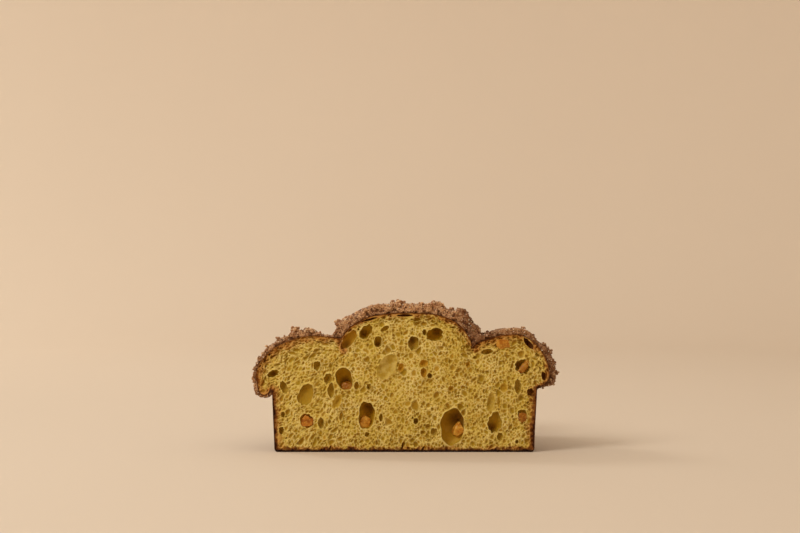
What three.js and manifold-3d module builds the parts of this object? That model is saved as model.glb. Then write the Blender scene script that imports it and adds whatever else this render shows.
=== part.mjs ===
// Half a colomba: a dove-shaped sweet loaf under an almond and sugar glaze, cut across its wings.
// Millimetres, +Z up. The cut faces -Y, the tail points along +Y and the base lies on z = 0.

import * as THREE from 'three';
import { RoundedBoxGeometry } from 'three/addons/geometries/RoundedBoxGeometry.js';
import { ImprovedNoise } from 'three/addons/math/ImprovedNoise.js';
import { mergeVertices } from 'three/addons/utils/BufferGeometryUtils.js';
import Module from 'manifold-3d';

const wasm = await Module();
wasm.setup();

const { lerp, smoothstep, degToRad, seededRandom } = THREE.MathUtils;

// Driving dimensions. A y in these tables is measured from the cut towards the tail.
const DEPTH = 163.5;
const CUT_Y = -DEPTH / 2;
const PIECE_GAP = 0.3;

// The straight-walled part that the baking mould shaped, with half widths across X, and the dough's core.
const MOULD = {
  wing: 110, waist: 50, tail: 63, tailEnd: 34,
  wingBack: 57, wingRound: 26, waistY: 84, tailY: 122, endY: 152,
  height: 53, lean: 0.02, footRound: 2,
};
const CORE = { share: 0.84, top: 72 };

// The two wing lobes, each a section across X that bulges over the mould's wall.
const LEFT_WING = { x: -76, z: 61, left: 47.5, right: 66, up: 34, down: 16 };
const RIGHT_WING = { x: 90, z: 62, left: 48, right: 33.5, up: 36, down: 14 };
const WING_SPAN = { start: -58, end: 67 };

// The left wing's lip, which hangs lower over the wall.
const LEFT_LIP = { x: -117, z: 55, left: 6.5, right: 6.5, up: 12, down: 9 };
const LIP_SPAN = { start: -58, end: 50 };

// The body lobe, from the dome at the cut down to the wider, lower tail.
const BODY = {
  x: 1, waist: 57, tail: 74, flareStart: 80, flareEnd: 128,
  domeCentre: 76, tailCentre: 61, sinkStart: 40, sinkEnd: 100,
  domeCrest: 116.5, tailCrest: 101, fallStart: 20, fallEnd: 150, lip: 46,
};
const BODY_SPAN = { start: -80, end: 160 };

// Unevenness of the risen dough, and the pitch of its swellings.
const SWELL = { height: 1.6, pitch: 34 };

// The glaze: its thickness on each lobe and on the dome's shoulders, its lower edge and the crags on it.
const GLAZE = {
  bodyTop: 6.5, wingTop: 4.5, side: 3, shoulder: 9, shoulderStart: 20, shoulderEnd: 75,
  edgeZ: 54, crag: 2, cragPitch: 9, fineness: 2,
};
const CRUMB = { least: 2, most: 4.4, flat: 0.72, sunk: 0.35, seed: 7, onBody: 108, onWing: 40 };

// Large clumps of nut and sugar that stand out of the glaze along the cut.
const CLUMPS = [
  { x: -105, z: 93.5, radius: 2.8 },
  { x: -91, z: 99.5, radius: 5 },
  { x: -79, z: 99, radius: 4 },
  { x: -55.5, z: 107.5, radius: 3.6 },
  { x: -4, z: 123, radius: 4 },
  { x: 28, z: 121, radius: 4 },
  { x: 49, z: 116, radius: 4.6 },
  { x: 61, z: 105, radius: 4.2 },
  { x: 115, z: 89, radius: 3.4 },
  { x: 124, z: 67, radius: 2.6 },
];

// Air holes that the knife opened: centre, width, height, lean to the right and depth behind the cut.
const HOLES = [
  { x: 25, z: 97, wide: 13, high: 11, lean: 0, deep: 10 },
  { x: 7.5, z: 90.5, wide: 8.5, high: 11, lean: 0, deep: 8 },
  { x: -32, z: 100, wide: 8.5, high: 12, lean: 25, deep: 9 },
  { x: -22, z: 91.5, wide: 6, high: 9, lean: 0, deep: 6 },
  { x: -44.5, z: 92, wide: 8, high: 13, lean: 35, deep: 6 },
  { x: -49, z: 61, wide: 12, high: 17, lean: 0, deep: 12 },
  { x: -82, z: 47.5, wide: 11.5, high: 16, lean: 10, deep: 4 },
  { x: -33, z: 29, wide: 11, high: 21, lean: 5, deep: 12 },
  { x: 39, z: 20, wide: 18, high: 29, lean: 8, deep: 16 },
  { x: 75, z: 24.5, wide: 9, high: 12, lean: 0, deep: 8 },
  { x: 97, z: 71, wide: 9, high: 10.5, lean: 0, deep: 7 },
  { x: -13.5, z: 71.5, wide: 9.5, high: 19, lean: 35, deep: 3.5 },
  { x: 94, z: 55, wide: 6, high: 12.5, lean: 10, deep: 5 },
  { x: -100, z: 53.5, wide: 6.5, high: 10, lean: 25, deep: 5 },
  { x: 68.5, z: 83, wide: 10, high: 5, lean: 10, deep: 5 },
  { x: -61, z: 51, wide: 6, high: 11.5, lean: 0, deep: 5 },
];

// Candied orange pieces, by the hole or crumb that they sit in; inset is the front's depth behind the cut.
const CANDIED = [
  { x: 45.5, z: 17.5, wide: 8.5, high: 11, long: 9, lean: 38, inset: 4 },
  { x: -81, z: 25.5, wide: 9.5, high: 10.5, long: 8, lean: 14, inset: 0 },
  { x: -33, z: 24, wide: 9, high: 10, long: 8, lean: 6, inset: 4 },
  { x: -48, z: 54, wide: 9, high: 6, long: 8, lean: 0, inset: 3 },
  { x: 100, z: 70.5, wide: 4.5, high: 12, long: 6, lean: 38, inset: 1 },
  { x: 97.5, z: 28.5, wide: 6.5, high: 7.5, long: 6, lean: 10, inset: 0 },
  { x: 82, z: 89.5, wide: 11, high: 8, long: 8, lean: -8, inset: 0 },
];
const CANDIED_ROUND = 1.3;

const COLOUR = { crumb: 0xcda24a, glaze: 0x8d6547, candied: 0xd98431 };

// Manifold solids from three.js geometry, and back
function solidOf(geometry) {
  const bare = geometry.clone();
  bare.deleteAttribute('normal');
  bare.deleteAttribute('uv');
  const merged = mergeVertices(bare, 1e-4);
  return new wasm.Manifold(new wasm.Mesh({
    numProp: 3,
    vertProperties: new Float32Array(merged.attributes.position.array),
    triVerts: new Uint32Array(merged.index.array),
  }));
}

function geometryOf(solid) {
  const mesh = solid.getMesh();
  const geometry = new THREE.BufferGeometry();
  geometry.setAttribute('position', new THREE.BufferAttribute(mesh.vertProperties, mesh.numProp));
  geometry.setIndex(new THREE.BufferAttribute(mesh.triVerts, 1));
  geometry.computeVertexNormals();
  return geometry;
}

function joined(geometries) {
  return geometries.map(solidOf).reduce((whole, solid) => whole.add(solid));
}

// A block that takes away all that lies before the cut or below a height
function blockAway(before, below) {
  const size = 4 * DEPTH;
  const block = new THREE.BoxGeometry(size, size, size);
  block.translate(0, before === null ? 0 : before - size / 2, below === null ? 0 : below - size / 2);
  return solidOf(block);
}

// The mould's plan from the cut to the end of the tail, drawn on the right and mirrored
function mouldOutline() {
  const { wing, waist, tail, tailEnd, wingBack, wingRound, waistY, tailY, endY } = MOULD;
  const beforeCut = -10;
  const hollow = (wingBack + waistY) / 2;
  const side = new THREE.Path();
  side.moveTo(wing, beforeCut);
  side.lineTo(wing, wingBack - wingRound);
  side.quadraticCurveTo(wing, wingBack, wing - wingRound, wingBack);
  side.bezierCurveTo(waist + 10, wingBack, waist, hollow, waist, waistY);
  side.bezierCurveTo(waist, lerp(waistY, tailY, 0.5), tail, lerp(waistY, tailY, 0.5), tail, tailY);
  side.bezierCurveTo(tail, lerp(tailY, endY, 0.7), tailEnd + 12, endY, tailEnd, endY);
  const right = side.getPoints(7);
  const left = right.map((point) => new THREE.Vector2(-point.x, point.y)).reverse();
  return new THREE.Shape([...right, ...left]);
}

// The mould's prism leans inwards on its way down to a slightly rounded foot
function mouldGeometry() {
  const { height, lean, footRound } = MOULD;
  const geometry = new THREE.ExtrudeGeometry(mouldOutline(), {
    depth: height - 2 * footRound,
    bevelThickness: footRound,
    bevelSize: footRound,
    bevelOffset: -footRound,
    bevelSegments: 1,
  });
  geometry.translate(0, 0, footRound);
  const position = geometry.attributes.position;
  for (let i = 0; i < position.count; i += 1) {
    const narrowing = 1 - lean * (1 - position.getZ(i) / height);
    position.setXY(i, position.getX(i) * narrowing, position.getY(i) * narrowing + CUT_Y);
  }
  return geometry;
}

// The core of dough that ties the lobes to the moulded base
function coreGeometry(grow) {
  const share = CORE.share + grow / MOULD.waist;
  const geometry = new THREE.ExtrudeGeometry(mouldOutline(), {
    depth: CORE.top + grow - MOULD.height / 2,
    bevelEnabled: false,
  });
  geometry.scale(share, share, 1);
  geometry.translate(0, CUT_Y, MOULD.height / 2);
  return geometry;
}

// The body's section across X at a distance y from the cut
function bodySection(y) {
  const half = lerp(BODY.waist, BODY.tail, smoothstep(y, BODY.flareStart, BODY.flareEnd));
  const z = lerp(BODY.domeCentre, BODY.tailCentre, smoothstep(y, BODY.sinkStart, BODY.sinkEnd));
  const crest = lerp(BODY.domeCrest, BODY.tailCrest, smoothstep(y, BODY.fallStart, BODY.fallEnd));
  return { x: BODY.x, z, left: half, right: half, up: crest - z, down: z - BODY.lip };
}

// The glaze's thickness at the body's sides, which is more on the dome's shoulders
function shoulderSide(y) {
  return lerp(GLAZE.shoulder, GLAZE.side, smoothstep(y, GLAZE.shoulderStart, GLAZE.shoulderEnd));
}

// Dough lobes: a section that runs along Y, with the powers of its section and of its rounded ends,
// and how the glaze lies on it
const BODY_LOBE = {
  ...BODY_SPAN, across: 2.4, ends: 4, section: bodySection, around: 28, along: 15,
  coatAcross: 3, coatSide: shoulderSide, coatTop: GLAZE.bodyTop, crumbs: CRUMB.onBody,
};
const WING_LOBE = {
  ...WING_SPAN, across: 2, ends: 2.6, around: 24, along: 11,
  coatAcross: 2, coatSide: () => GLAZE.side, coatTop: GLAZE.wingTop, crumbs: CRUMB.onWing,
};
const LOBES = [
  BODY_LOBE,
  { ...WING_LOBE, section: () => LEFT_WING },
  { ...WING_LOBE, section: () => RIGHT_WING },
  { ...WING_LOBE, ...LIP_SPAN, section: () => LEFT_LIP, around: 14, along: 9, crumbs: 0 },
];

// A lobe as the outside of its glaze has it
function coated(lobe) {
  const section = (y) => {
    const { x, z, left, right, up, down } = lobe.section(y);
    const side = lobe.coatSide(y);
    return { x, z, left: left + side, right: right + side, up: up + lobe.coatTop, down: down + side };
  };
  return { ...lobe, section, across: lobe.coatAcross, start: lobe.start - GLAZE.side, end: lobe.end + GLAZE.side };
}
const COATS = LOBES.map(coated);

function signedPower(value, power) {
  return Math.sign(value) * Math.abs(value) ** power;
}

// The point of a lobe's surface, grown all round, that a unit direction leads to
function lobePoint(lobe, direction, grow) {
  const across = Math.hypot(direction.x, direction.z);
  const ring = across > 0 ? (1 - Math.abs(direction.y) ** lobe.ends) ** (1 / lobe.ends) : 0;
  const y = lerp(lobe.start - grow, lobe.end + grow, (direction.y + 1) / 2);
  const { x, z, left, right, up, down } = lobe.section(y);
  const turnX = across > 0 ? signedPower(direction.x / across, 2 / lobe.across) : 0;
  const turnZ = across > 0 ? signedPower(direction.z / across, 2 / lobe.across) : 0;
  const wide = (turnX < 0 ? left : right) + grow;
  const high = (turnZ < 0 ? down : up) + grow;
  return new THREE.Vector3(x + wide * ring * turnX, CUT_Y + y, z + high * ring * turnZ);
}

// How far inside a lobe a point lies: below 1 inside, 1 on its surface
function lobeReach(lobe, point) {
  const y = point.y - CUT_Y;
  const middle = (lobe.start + lobe.end) / 2;
  const along = Math.abs(y - middle) / (lobe.end - middle);
  const { x, z, left, right, up, down } = lobe.section(y);
  const across = Math.abs(point.x - x) / (point.x < x ? left : right);
  const height = Math.abs(point.z - z) / (point.z < z ? down : up);
  const ring = (across ** lobe.across + height ** lobe.across) ** (lobe.ends / lobe.across);
  return (along ** lobe.ends + ring) ** (1 / lobe.ends);
}

// Smooth noise of one pitch at a point, between -1 and 1
const perlin = new ImprovedNoise();
function noiseAt(point, pitch) {
  return perlin.noise(point.x / pitch, point.y / pitch, point.z / pitch);
}

// The uneven rise of a surface at a point: swellings and, on the glaze, crags
function riseAt(point, crag) {
  return SWELL.height * noiseAt(point, SWELL.pitch) + crag * noiseAt(point, GLAZE.cragPitch);
}

// A lobe's closed surface, risen unevenly
function lobeGeometry(lobe, grow, crag = 0, fineness = 1) {
  const geometry = new THREE.SphereGeometry(1, lobe.around * fineness, lobe.along * fineness);
  const position = geometry.attributes.position;
  const direction = new THREE.Vector3();
  for (let i = 0; i < position.count; i += 1) {
    direction.fromBufferAttribute(position, i).normalize();
    const rise = riseAt(lobePoint(lobe, direction, 0), crag);
    const point = lobePoint(lobe, direction, grow + rise);
    position.setXYZ(i, point.x, point.y, point.z);
  }
  return geometry;
}

// Nut and sugar crumbs stand out of the glaze, spread over the upper side of each coat by the golden ratio
function crumbGeometries(lobe) {
  const goldenShare = (Math.sqrt(5) - 1) / 2;
  const crumbs = [];
  for (let i = 0; i < lobe.crumbs; i += 1) {
    const along = 1 - (2 * i + 1) / lobe.crumbs;
    const across = Math.sqrt(1 - along * along);
    const turn = Math.PI * ((i * goldenShare) % 1);
    const direction = new THREE.Vector3(across * Math.cos(turn), along, across * Math.sin(turn));
    const radius = lerp(CRUMB.least, CRUMB.most, seededRandom() ** 2);
    const rotation = new THREE.Euler(seededRandom() * 6, seededRandom() * 6, seededRandom() * 6);
    const point = lobePoint(lobe, direction, riseAt(lobePoint(lobe, direction, 0), GLAZE.crag));
    const others = COATS.filter((other) => other !== lobe);
    const buried = others.some((other) => lobeReach(other, point) < 1);
    if (buried || point.y < CUT_Y + radius || point.z < GLAZE.edgeZ + radius) {
      continue;
    }
    const inwards = new THREE.Vector3(lobe.section(point.y - CUT_Y).x, point.y, GLAZE.edgeZ).sub(point);
    point.addScaledVector(inwards.normalize(), CRUMB.sunk * radius);
    const crumb = new THREE.IcosahedronGeometry(radius, 0);
    crumb.scale(1, CRUMB.flat, 1);
    crumb.applyMatrix4(new THREE.Matrix4().makeRotationFromEuler(rotation));
    crumb.translate(point.x, point.y, point.z);
    crumbs.push(crumb);
  }
  return crumbs;
}

function clumpGeometry({ x, z, radius }) {
  const clump = new THREE.IcosahedronGeometry(radius, 0);
  clump.translate(x, CUT_Y + radius, z);
  return clump;
}

function holeGeometry({ x, z, wide, high, lean, deep }) {
  const hole = new THREE.SphereGeometry(1, 12, 8);
  hole.scale(wide / 2, deep, high / 2);
  hole.rotateY(degToRad(lean));
  hole.translate(x, CUT_Y, z);
  return hole;
}

function candiedGeometry({ wide, high, long }, grow) {
  return new RoundedBoxGeometry(wide + 2 * grow, long + 2 * grow, high + 2 * grow, 1, CANDIED_ROUND + grow);
}

function candiedPlace({ x, z, long, inset }) {
  return new THREE.Vector3(x, CUT_Y + inset + long / 2, z);
}

function pocketGeometry(piece) {
  const pocket = candiedGeometry(piece, PIECE_GAP);
  pocket.rotateY(degToRad(piece.lean));
  const { x, y, z } = candiedPlace(piece);
  pocket.translate(x, y, z);
  return pocket;
}

function namedMesh(name, geometry, color, roughness) {
  const mesh = new THREE.Mesh(geometry, new THREE.MeshStandardMaterial({ color, roughness, metalness: 0 }));
  mesh.name = name;
  return mesh;
}

// Crumb and crust: the moulded base and the risen lobes, cut and opened by holes and pockets
function makeCake() {
  const dough = joined([mouldGeometry(), coreGeometry(0), ...LOBES.map((lobe) => lobeGeometry(lobe, 0))]);
  const cavities = joined([...HOLES.map(holeGeometry), ...CANDIED.map(pocketGeometry)]);
  const cake = dough.subtract(blockAway(CUT_Y, null)).subtract(cavities);
  return namedMesh('cake', geometryOf(cake), COLOUR.crumb, 0.9);
}

// Glaze: the grown lobes with their crumbs, hollowed to lie on the crust
function makeGlaze() {
  seededRandom(CRUMB.seed);
  const crust = joined([coreGeometry(PIECE_GAP), ...LOBES.map((lobe) => lobeGeometry(lobe, PIECE_GAP))]);
  const outside = COATS.map((coat) => lobeGeometry(coat, 0, GLAZE.crag, GLAZE.fineness));
  const glaze = joined([...outside, ...COATS.flatMap(crumbGeometries), ...CLUMPS.map(clumpGeometry)])
    .subtract(crust)
    .subtract(blockAway(CUT_Y, null))
    .subtract(blockAway(null, GLAZE.edgeZ));
  return namedMesh('glaze', geometryOf(glaze), COLOUR.glaze, 0.8);
}

function makeCandied(piece, index) {
  const mesh = namedMesh(`candied_orange_${index + 1}`, candiedGeometry(piece, 0), COLOUR.candied, 0.35);
  mesh.position.copy(candiedPlace(piece));
  mesh.rotation.y = degToRad(piece.lean);
  return mesh;
}

const colomba = new THREE.Group();
colomba.add(makeCake(), makeGlaze(), ...CANDIED.map(makeCandied));

export default colomba;
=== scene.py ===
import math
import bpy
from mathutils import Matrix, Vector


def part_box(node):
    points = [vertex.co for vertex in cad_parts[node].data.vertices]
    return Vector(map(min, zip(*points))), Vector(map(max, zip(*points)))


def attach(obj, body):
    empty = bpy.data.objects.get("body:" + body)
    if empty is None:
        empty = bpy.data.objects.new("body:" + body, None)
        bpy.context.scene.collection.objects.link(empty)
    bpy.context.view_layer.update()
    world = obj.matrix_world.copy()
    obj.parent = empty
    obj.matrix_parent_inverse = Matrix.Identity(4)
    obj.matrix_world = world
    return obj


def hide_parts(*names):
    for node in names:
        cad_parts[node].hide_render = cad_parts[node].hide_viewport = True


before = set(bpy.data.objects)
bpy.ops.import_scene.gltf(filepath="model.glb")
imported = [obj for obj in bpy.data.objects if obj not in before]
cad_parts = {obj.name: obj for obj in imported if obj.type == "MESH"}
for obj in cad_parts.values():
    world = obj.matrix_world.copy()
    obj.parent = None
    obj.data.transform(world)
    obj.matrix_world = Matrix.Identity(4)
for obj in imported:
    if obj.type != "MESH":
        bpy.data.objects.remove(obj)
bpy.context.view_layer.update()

# Half a colomba, cut across its wings: crumb and crust, almond and sugar glaze, candied orange.
# Shapes are worked out in millimetres, with y measured from the cut towards the tail, and are
# written to Blender in metres.

from types import SimpleNamespace

import bmesh
import bpy
import numpy as np
import openvdb
from mathutils import Quaternion, Vector
from mathutils.geometry import delaunay_2d_cdt

MM = 0.001
CUT_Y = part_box("cake")[0][1] / MM

# The straight-walled part that the baking mould shaped, with half widths across X
MOULD = SimpleNamespace(wing=110, waist=50, tail=63, tail_end=34, wing_back=57, wing_round=26,
                        waist_y=84, tail_y=122, end_y=152, height=53, lean=2.2, foot_round=2.5)

# Dough lobes: section across X, its span along Y, and the powers of the section and of its ends
LEFT_WING = dict(x=-76, z=61, left=47.8, right=66, up=35, down=16)
RIGHT_WING = dict(x=90, z=62, left=48, right=30.5, up=36, down=14)
WING_SPAN = dict(start=-58, end=67, across=2, ends=2.6, size=45)
LEFT_LIP = dict(x=-117, z=55, left=5.8, right=6.5, up=12, down=9)
LIP_SPAN = dict(start=-58, end=50, across=2, ends=2.6, size=9)
CORE = SimpleNamespace(inset=14, bottom=20, top=72)
BODY = SimpleNamespace(x=1, waist=57, tail=74, flare=(80, 128), dome_centre=76, tail_centre=61,
                       sink=(40, 100), dome_crest=116.5, tail_crest=101, fall=(20, 150), lip=46)
BODY_SPAN = dict(start=-80, end=160, across=2.4, ends=4, size=45)

# Glaze in mm: its thickness on the body, the wings and their sides, and on the dome's shoulders, which
# fades along y; the least skin; and its lower edge, which hangs at the left lip and is higher on the right
GLAZE = SimpleNamespace(body=6.5, wing=4.5, side=3.0, shoulder=9.0, fade=(20, 75), left_top=3.4,
                        left_side=2.8, right_side=5.4, skin=0.9, edge=54, lip_drop=7.5, right_rise=1.5)

# Pitch and height of the glaze's crags, in mm
CRAGS = [(9.0, 2.0), (4.6, 1.7), (2.5, 1.6)]

# Where the glaze stands out or falls in along the cut: x, z, reach and rise, and how far back those go
GLAZE_FORM = [
    (-60.5, 103, 6, -5), (-91, 101, 7, 3), (-79, 101, 6, 2), (-66, 98, 6, -3), (-44, 115, 12, -5),
    (-4, 125, 5, 2.5), (15, 126, 7, -2), (28, 123, 6, 2.5), (39, 120, 6, -4), (50, 118, 6, 2),
    (61, 110, 9, -4.5), (73, 100, 5, -2), (112, 92, 6, -3),
]
BUMP_REACH = 22
DIP_REACH = 48

# Large clumps of nut and sugar along the cut: x, z and radius
CLUMPS = [
    (-105, 93.5, 2.8), (-91, 100.5, 4.6), (-79, 99.5, 3.8), (-55.5, 107.5, 3.6), (-4, 123.5, 4.0),
    (28, 121.0, 4.0), (47, 115, 4.4), (60, 102, 3.4), (106, 94, 2.6), (116, 88.5, 3.0), (121, 83, 2.8),
    (124.5, 74, 2.6), (126.5, 66, 2.8), (123, 57, 2.4), (-114, 87, 2.2), (-120.5, 78, 2.4),
    (-124, 69, 2.0), (-125, 59, 2.4), (-119, 47.5, 2.2), (75, 97, 2.4),
]

# Air holes that the knife opened, in mm on the cut: centre x and z, width, height, lean to the right
# in degrees, depth, power of the outline unless it is 2, and tint from olive (-1) to orange (1) and crust
# brown (2) unless it is 0. A large hole also has the place of its deepest spot, right and up, as shares of
# its half size; painted shade darkens its colour towards that spot
HOLES = [
    (25.3, 97.4, 13.3, 10.8, -8, 12, 2.4, 0, 0.2, 0.45), (16.6, 99.4, 3.3, 5, 0, 5),
    (7.5, 90.3, 8.9, 11, 0, 8, 2.3, -0.3, -0.3, 0.45), (-22, 91.5, 6.2, 9.1, 5, 7, 2.3, 0, 0, -0.4),
    (-32, 99.8, 8.5, 13.5, 38, 9, 2.2, 0, -0.4, -0.2), (-38.2, 101.9, 2.2, 2.6, 0, 3),
    (-46.2, 93.2, 9, 18.5, 38, 6, 1.8, 0.5, -0.3, -0.4), (-16.2, 102.3, 4, 7.5, 60, 4),
    (-109, 65, 10.5, 5.5, -22, 7, 1.8), (-72.6, 71.6, 5.5, 7.8, 15, 5, 2.4, -0.2),
    (-63.5, 60.8, 6, 9.4, 25, 5, 2.2, -0.2), (-50, 60.8, 13.6, 18.4, -18, 13, 2.3, 0, 0.3, -0.4),
    (-39.8, 55, 4, 6.6, 0, 4, 2, 0.3), (-29.5, 54.2, 3.8, 5, 0, 4),
    (-100, 53.6, 6, 10.5, -25, 5, 2, -0.3), (-82, 47.5, 12, 18, 20, 4.6, 2.4, 0.1, -0.3, 0.5),
    (-61, 51, 5.6, 12, 0, 4.5, 2, -0.3), (-56, 41.7, 7, 14, 25, 2, 2, 0.2),
    (-69.3, 23.9, 5, 9.6, 0, 5, 1.8, -0.4), (-100.8, 31, 3.3, 5, 0, 4), (-102.1, 17.7, 4.2, 6, 0, 5, 2.4),
    (-31.5, 30.3, 13, 22, 3, 12, 2.7, 0, 0.2, 0.5), (-19.5, 28.5, 3.2, 6.5, 0, 4),
    (-31.1, 14.4, 4, 4, 0, 4), (-14.4, 70.8, 14.5, 22.5, 31, 2.6, 2.1, -0.7),
    (-2.9, 70, 4.6, 7.5, 20, 3, 2, 0.7), (16.2, 73.7, 6.6, 5.8, 0, 3, 2.4, 0.7),
    (16, 65.8, 5, 7.5, 0, 4, 2.2, 0.7), (21, 63.3, 4, 4.2, 0, 6, 2.2), (52.7, 72.5, 3.8, 5, 0, 3, 2, 0.6),
    (38.6, 52.5, 5, 5, 0, 3, 2, 0.4), (9.5, 25.6, 4.2, 5.2, 20, 6, 1.9), (6.8, 28.2, 2, 2, 0, 3),
    (39.7, 20.8, 19.2, 30.5, 4, 15, 2.2, -0.3, 0.55, 0.35), (19.5, 21, 5.2, 5, 0, 3, 2, -0.3),
    (15.4, 16, 5, 4.2, 0, 3, 2, -0.3), (24.5, 16.8, 5.6, 5.8, 0, 4, 2.2, -0.3),
    (75, 24.4, 12, 17.2, 12, 8, 1.7, 0.1, -0.5, -0.5), (97.8, 31.4, 7.4, 7.4, 0, 4.5, 2.6, 0.3),
    (79.3, 12.7, 5, 6.6, 0, 4, 2, -0.3), (68.5, 83.2, 10, 4.4, -8, 5, 1.9), (58.5, 78.3, 4.4, 3, 0, 3),
    (98, 70.8, 12.6, 11, 20, 8, 2.2, 0, -0.4, 0.1), (94.2, 54.2, 5.6, 13, 0, 5, 1.7, -0.4),
    (82.6, 53.4, 6, 8, 0, 2, 2, 0.3), (71.8, 41.7, 6.6, 17, 5, 2.4, 2.2, -0.6),
    (78.4, 41.7, 3, 10, 0, 1.8, 2, 0.2), (103, 90, 4, 11.5, -42, 6, 1.8, 2),
    (115.6, 63, 3.6, 7, -10, 5, 2, 1.8), (104.6, 49.6, 5.6, 6, 0, 6, 2.4, 1.6),
    (0.4, 113.4, 12, 1.7, 0, 4, 2, 2), (-29, 110, 13, 1.4, -15, 4, 2, 2), (102.5, 41, 2, 2.6, 0, 3),
    (93.4, 8.5, 2.6, 3.4, 0, 4), (-81.2, 25.9, 10.8, 11.4, 20, 4.5, 2.3, 0.8),
    (-61.8, 3.4, 1.5, 4.4, 28, 2, 2, 1.7), (-17, 2.6, 2.4, 3, -35, 2, 2, 1.6),
    (-1.6, 5, 1.4, 7, 14, 2.5, 2, 1.8), (3.2, 3.2, 3, 2.2, 30, 2, 2, 1.6),
    (15.4, 3, 1.6, 4.6, 35, 2.5, 2, 1.8),
]

# Folds of crust that reach into the crumb at both ends of the dome: start, end, and how far they brown it
CREASES = [((-55.5, 98.0), (-50.5, 84.5), 5.5), ((56.0, 93.0), (58.5, 86.5), 4.5)]


# Noise and small helpers

def smoothstep(value, low, high):
    t = np.clip((value - low) / (high - low), 0, 1)
    return t * t * (3 - 2 * t)


def mix(a, b, share):
    return a + (b - a) * share


NOISE_GAIN = 1.6


def noise(points, pitch, seed):
    """Smooth gradient noise between about -1 and 1 at the points of an (n, 3) array."""
    rng = np.random.default_rng(seed)
    table = rng.permutation(256)
    slopes = rng.normal(size=(256, 3))
    slopes /= np.linalg.norm(slopes, axis=1, keepdims=True)
    scaled = np.asarray(points, float) / pitch
    cell = np.floor(scaled).astype(int)
    inside = scaled - cell
    ease = inside ** 3 * (inside * (inside * 6 - 15) + 10)
    total = np.zeros(len(scaled))
    for corner in np.ndindex(2, 2, 2):
        near = cell + corner
        spot = table[near[:, 0] & 255]
        spot = table[(spot + near[:, 1]) & 255]
        spot = table[(spot + near[:, 2]) & 255]
        weight = np.where(corner, ease, 1 - ease).prod(axis=1)
        total += weight * np.einsum("ij,ij->i", slopes[spot], inside - corner)
    return total * NOISE_GAIN


def layered(points, layers):
    """Sum of noises, each given by its pitch, height and seed."""
    return sum(height * noise(points, pitch, seed) for pitch, height, seed in layers)


def in_space(plan, y=0.0):
    """Points of the cut's plane, given by x and z, as points in space at a depth behind it."""
    return np.column_stack([plan[:, 0], np.full(len(plan), y), plan[:, 1]])


# The dough's form

def body_section(y):
    half = mix(BODY.waist, BODY.tail, smoothstep(y, *BODY.flare))
    z = mix(BODY.dome_centre, BODY.tail_centre, smoothstep(y, *BODY.sink))
    crest = mix(BODY.dome_crest, BODY.tail_crest, smoothstep(y, *BODY.fall))
    return dict(x=BODY.x, z=z, left=half, right=half, up=crest - z, down=z - BODY.lip)


def shoulder_side(y):
    return mix(GLAZE.shoulder, GLAZE.side, smoothstep(y, *GLAZE.fade))


def coat(side, top):
    """A coat of glaze with an even thickness at its sides and on top."""
    return dict(coat_across=2, coat_side=lambda y: side, coat_top=top)


LOBES = [
    dict(BODY_SPAN, section=body_section, coat_across=3, coat_side=shoulder_side, coat_top=GLAZE.body),
    dict(WING_SPAN, section=lambda y: LEFT_WING, **coat(GLAZE.left_side, GLAZE.left_top)),
    dict(WING_SPAN, section=lambda y: RIGHT_WING, **coat(GLAZE.right_side, GLAZE.wing)),
    dict(LIP_SPAN, section=lambda y: LEFT_LIP, **coat(GLAZE.side, GLAZE.wing)),
]


def lobes_field(x, y, z, grow, coat=False):
    """The field of all lobes together."""
    return np.min([lobe_field(lobe, x, y, z, grow, coat) for lobe in LOBES], axis=0)


def lobe_field(lobe, x, y, z, grow, coat=False):
    """About how far outside a lobe, or outside its coat of glaze, a point lies."""
    part = lobe["section"](y)
    side = lobe["coat_side"](y) if coat else 0
    top = lobe["coat_top"] if coat else 0
    power = lobe["coat_across"] if coat else lobe["across"]
    middle = (lobe["start"] + lobe["end"]) / 2
    along = np.abs(y - middle) / (lobe["end"] - middle + (GLAZE.side if coat else 0) + grow)
    across = np.abs(x - part["x"]) / (np.where(x < part["x"], part["left"], part["right"]) + side + grow)
    reach = np.where(z < part["z"], part["down"] + side, part["up"] + top)
    height = np.abs(z - part["z"]) / (reach + grow)
    ring = (across ** power + height ** power) ** (lobe["ends"] / power)
    return ((along ** lobe["ends"] + ring) ** (1 / lobe["ends"]) - 1) * lobe["size"]


def bezier(start, first, second, end, steps=10):
    t = np.linspace(0, 1, steps + 1)[1:, None]
    start, first, second, end = map(np.asarray, (start, first, second, end))
    nearer = (1 - t) ** 3 * start + 3 * t * (1 - t) ** 2 * first
    return nearer + 3 * t * t * (1 - t) * second + t ** 3 * end


def mould_outline():
    """The mould's plan from before the cut to the end of the tail, right side then left."""
    wing, waist, tail = MOULD.wing, MOULD.waist, MOULD.tail
    back, turn = MOULD.wing_back, MOULD.wing_round
    waist_y, tail_y, end_y = MOULD.waist_y, MOULD.tail_y, MOULD.end_y
    corner = turn * 2 / 3
    middle = (waist_y + tail_y) / 2
    side = np.vstack([
        [(wing, -60), (wing, back - turn)],
        bezier((wing, back - turn), (wing, back - turn + corner), (wing - turn + corner, back),
               (wing - turn, back)),
        bezier((wing - turn, back), (waist + 10, back), (waist, (back + waist_y) / 2), (waist, waist_y)),
        bezier((waist, waist_y), (waist, middle), (tail, middle), (tail, tail_y)),
        bezier((tail, tail_y), (tail, mix(tail_y, end_y, 0.7)), (MOULD.tail_end + 12, end_y),
               (MOULD.tail_end, end_y)),
    ])
    return np.vstack([side, side[::-1] * (-1, 1)])


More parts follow.
